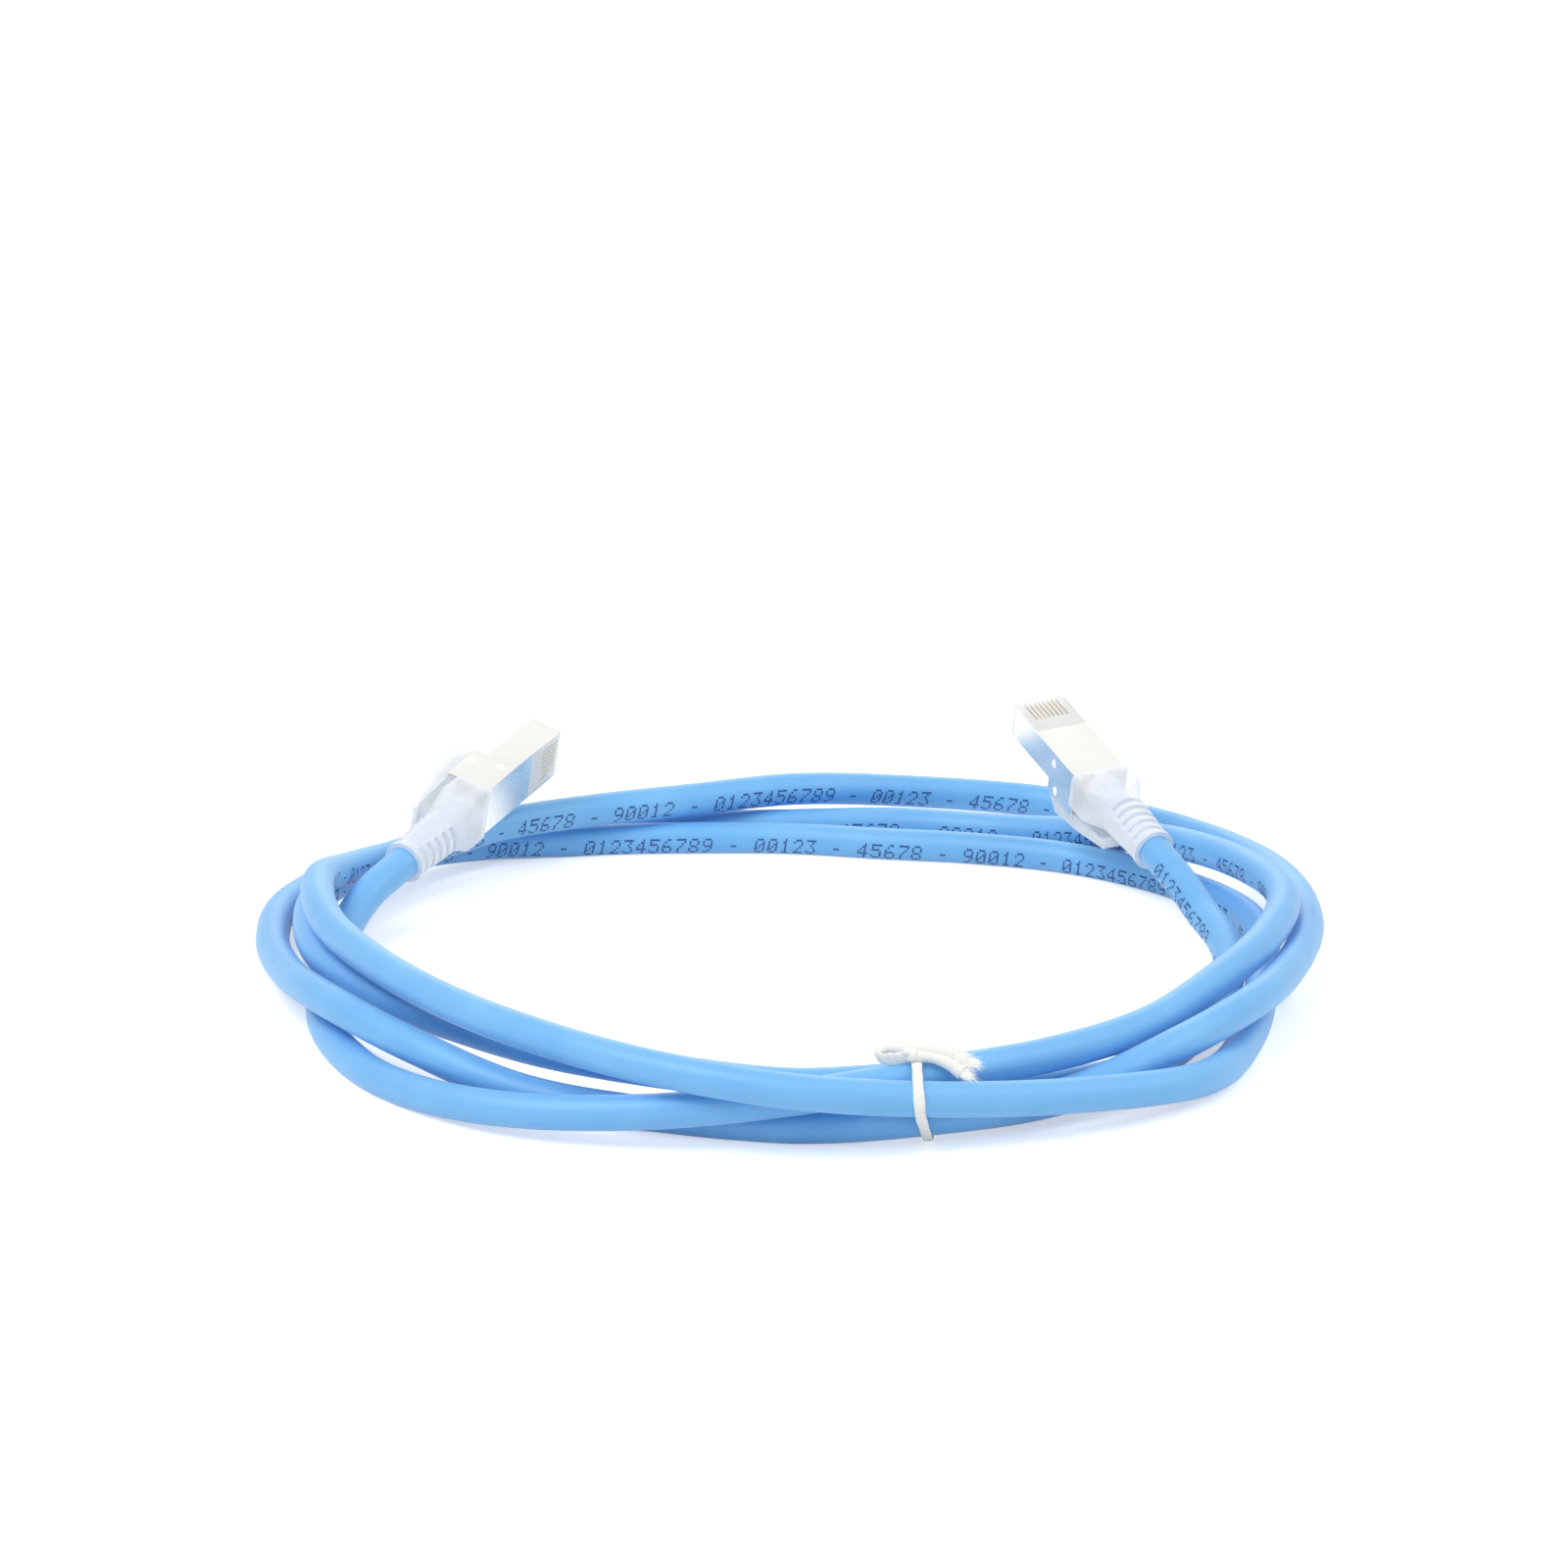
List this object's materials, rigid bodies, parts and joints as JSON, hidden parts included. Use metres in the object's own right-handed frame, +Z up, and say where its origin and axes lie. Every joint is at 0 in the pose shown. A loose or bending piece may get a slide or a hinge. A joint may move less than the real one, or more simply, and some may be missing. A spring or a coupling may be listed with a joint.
{
  "type": "ethernet patch cable",
  "caption": "Coiled round shielded patch cable with a latching eight-way plug, clear ribbed boot and latch hood on each end, tied with string.",
  "frame": {"origin": "centre of the bounding box's footprint, on the surface that the coil lies on", "axes": "+Z up from that surface, +X to the right and +Y away from the viewer of the picture, so both plugs lie on the far half with their noses pointing away"},
  "size_m": [0.2133, 0.2147, 0.0343],
  "materials": {
    "jacket": "satin sky-blue vinyl",
    "string": "white cotton string",
    "clear_plastic": "clear polycarbonate",
    "contact_gold": "gold-plated",
    "sled_plastic": "natural plastic",
    "wire_blue": "smooth",
    "wire_orange": "smooth",
    "wire_green": "smooth",
    "wire_brown": "smooth",
    "foil": "crinkled foil",
    "shield_metal": "nickel-plated sheet",
    "ferrule_metal": "plated",
    "boot_clear": "milky clear soft plastic"
  },
  "bodies": {
    "cable": {"cable_coil": "jacket", "lead_a": "jacket", "lead_b": "jacket", "tie_band": "string", "tie_knot": "string", "tie_loop": "string", "tie_tail": "string", "plug_housing_a": "clear_plastic", "contacts_a": "contact_gold", "wire_sled_a": "sled_plastic", "pair_blue_a": "wire_blue", "pair_orange_a": "wire_orange", "pair_green_a": "wire_green", "pair_brown_a": "wire_brown", "foil_a": "foil", "shield_a": "shield_metal", "ferrule_a": "ferrule_metal", "cable_end_a": "jacket", "boot_a": "boot_clear", "plug_housing_b": "clear_plastic", "contacts_b": "contact_gold", "wire_sled_b": "sled_plastic", "pair_blue_b": "wire_blue", "pair_orange_b": "wire_orange", "pair_green_b": "wire_green", "pair_brown_b": "wire_brown", "foil_b": "foil", "shield_b": "shield_metal", "ferrule_b": "ferrule_metal", "cable_end_b": "jacket", "boot_b": "boot_clear"},
    "latch_a": {"latch_a": "clear_plastic"},
    "hood_a": {"hood_a": "boot_clear"},
    "latch_b": {"latch_b": "clear_plastic"},
    "hood_b": {"hood_b": "boot_clear"}
  },
  "joints": [
    {"name": "hood_a_flex", "type": "hinge", "parent": "cable", "child": "hood_a", "pos_m": [-0.07686, 0.04255, 0.0179], "axis": [-0.1383, 0.3305, -0.9336], "range_deg": [0, 6.7], "stiffness_Nm_per_rad": 0.05},
    {"name": "latch_a_press", "type": "hinge", "parent": "cable", "child": "latch_a", "pos_m": [-0.05506, 0.07463, 0.02602], "axis": [0.1383, -0.3305, 0.9336], "range_deg": [0, 8.5], "stiffness_Nm_per_rad": 0.02},
    {"name": "hood_b_flex", "type": "hinge", "parent": "cable", "child": "hood_b", "pos_m": [0.06878, 0.0453, 0.01346], "axis": [0.9012, 0.4294, 0.0584], "range_deg": [0, 6.7], "stiffness_Nm_per_rad": 0.05},
    {"name": "latch_b_press", "type": "hinge", "parent": "cable", "child": "latch_b", "pos_m": [0.052, 0.07874, 0.02652], "axis": [-0.9012, -0.4294, -0.0584], "range_deg": [0, 8.5], "stiffness_Nm_per_rad": 0.02}
  ],
  "couplings": [
    {"joint": "latch_a_press", "follows": "hood_a_flex", "ratio": 1.265},
    {"joint": "latch_b_press", "follows": "hood_b_flex", "ratio": 1.265}
  ]
}
